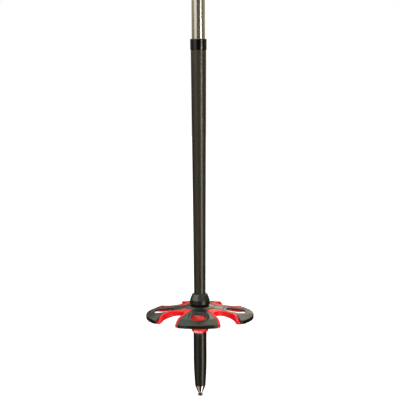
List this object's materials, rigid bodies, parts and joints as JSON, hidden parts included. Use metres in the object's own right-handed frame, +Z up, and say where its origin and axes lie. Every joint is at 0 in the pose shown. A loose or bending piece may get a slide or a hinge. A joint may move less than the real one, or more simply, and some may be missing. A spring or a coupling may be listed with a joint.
{
  "type": "ski pole",
  "caption": "Adjustable two-section ski pole with a screw-on two-material powder basket, carbide tip, sliding tube, cam-lever clamp, foam and rubber grip and wrist strap.",
  "frame": {"origin": "foot of the carbide nib, on the shaft's axis", "axes": "+Z up the shaft, -Y towards the basket's front petal and the picture's viewer, +X towards the strap"},
  "size_m": [0.1484, 0.099, 1.0453],
  "materials": {
    "carbide": "ground",
    "polished_steel": "polished",
    "black_nylon": "satin",
    "red_soft_plastic": "satin",
    "charcoal_plastic": "satin",
    "black_anodised_alloy": "satin black",
    "gloss_black_plastic": "gloss",
    "polished_alloy": "polished",
    "grey_nylon": "satin",
    "dark_alloy": "anodised",
    "zinc_steel": "plated",
    "red_hard_plastic": "satin",
    "grip_foam": "matt foam",
    "grip_rubber": "matt",
    "webbing": "woven"
  },
  "bodies": {
    "lower_section": {"carbide_nib": "carbide", "tip_ferrule": "polished_steel", "tip_body": "black_nylon", "lower_shaft": "black_anodised_alloy", "shaft_collar": "gloss_black_plastic", "slide_tube": "polished_alloy", "tube_plug": "grey_nylon"},
    "basket": {"basket_core": "red_soft_plastic", "basket_frame": "charcoal_plastic"},
    "upper_section": {"upper_shaft": "black_anodised_alloy", "lock_sleeve": "black_nylon", "lock_band": "dark_alloy", "tension_bolt": "zinc_steel", "cam_washer": "zinc_steel", "foam_ring": "red_hard_plastic", "foam_grip": "grip_foam", "grip_body": "grip_rubber", "grip_head": "black_nylon", "grip_cap": "red_soft_plastic", "strap_pin": "zinc_steel"},
    "lever": {"lock_lever": "red_hard_plastic", "lever_pin": "zinc_steel"},
    "thumb_nut": {"tension_nut": "zinc_steel"},
    "strap": {"wrist_strap": "webbing"}
  },
  "joints": [
    {"name": "length_slide", "type": "slide", "parent": "lower_section", "child": "upper_section", "axis": [0, 0, 1], "range_m": [-0.046, 0.352]},
    {"name": "basket_turn", "type": "hinge", "parent": "lower_section", "child": "basket", "pos_m": [0, 0, 0.07], "axis": [0, 0, 1], "range_deg": [-405, 0]},
    {"name": "lever_swing", "type": "hinge", "parent": "upper_section", "child": "lever", "pos_m": [0.01556, -0.01111, 0.3878], "axis": [0, 0, 1], "range_deg": [0, 150]},
    {"name": "nut_turn", "type": "hinge", "parent": "upper_section", "child": "thumb_nut", "pos_m": [0.01556, 0.0074, 0.3878], "axis": [0, 1, 0], "range_deg": [-360, 360]},
    {"name": "strap_swing", "type": "hinge", "parent": "upper_section", "child": "strap", "pos_m": [0.01645, 0, 1.0288], "axis": [0, -1, 0], "range_deg": [0, 68]}
  ]
}
